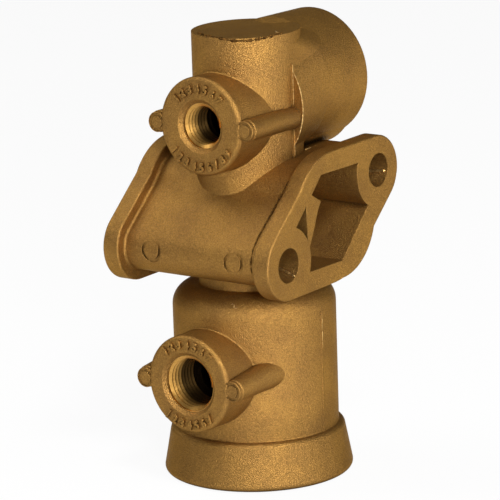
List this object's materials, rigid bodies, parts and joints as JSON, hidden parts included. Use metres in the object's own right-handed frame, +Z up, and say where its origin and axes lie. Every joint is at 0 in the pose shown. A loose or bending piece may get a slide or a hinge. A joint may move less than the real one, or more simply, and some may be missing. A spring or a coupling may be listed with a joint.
{
  "type": "tractor protection valve",
  "caption": "Cast brass two-line tractor protection valve with two front ports, a rear cylinder, slanted side flanges with open pockets and a flared round foot.",
  "frame": {"origin": "centre of the round foot's underside", "axes": "+Z up along the lower cylinder; -Y out of the two tractor ports; +X and -X out of the two flange faces"},
  "size_m": [0.0604, 0.0684, 0.136],
  "materials": {
    "cast_brass": "blasted as cast",
    "turned_brass": "machined",
    "rubber": "matte black",
    "spring_steel": "drawn wire",
    "zinc_plated_steel": "zinc plated"
  },
  "bodies": {
    "housing": {"cast_body": "cast_brass", "bottom_cap": "turned_brass", "bottom_cap_o_ring": "rubber", "valve_cage": "turned_brass", "cage_upper_o_ring": "rubber", "cage_lower_o_ring": "rubber", "cage_retaining_ring": "spring_steel", "stem_o_ring": "rubber", "piston_spring": "spring_steel", "service_valve_spring": "spring_steel", "rear_cap": "turned_brass", "rear_cap_o_ring": "rubber", "emergency_valve_spring": "spring_steel"},
    "piston": {"piston": "turned_brass", "piston_o_ring": "rubber"},
    "service_valve": {"service_valve": "turned_brass", "service_valve_disc": "rubber", "service_disc_screw": "zinc_plated_steel"},
    "emergency_valve": {"emergency_valve": "turned_brass", "emergency_valve_disc": "rubber", "emergency_disc_screw": "zinc_plated_steel"}
  },
  "joints": [
    {"name": "piston_slide", "type": "slide", "parent": "housing", "child": "piston", "axis": [0, 0, -1], "range_m": [0, 0.003], "stiffness_N_per_m": 6000, "springref_m": -0.002, "deforming": ["piston_spring"]},
    {"name": "service_valve_slide", "type": "slide", "parent": "housing", "child": "service_valve", "axis": [0, 0, -1], "range_m": [0, 0.003], "stiffness_N_per_m": 1500, "springref_m": -0.002, "deforming": ["service_valve_spring"]},
    {"name": "emergency_valve_slide", "type": "slide", "parent": "housing", "child": "emergency_valve", "axis": [0, 1, 0], "range_m": [0, 0.0025], "stiffness_N_per_m": 2500, "springref_m": -0.002, "deforming": ["emergency_valve_spring"]}
  ],
  "couplings": [
    {"joint": "service_valve_slide", "follows": "piston_slide", "ratio": 1}
  ]
}
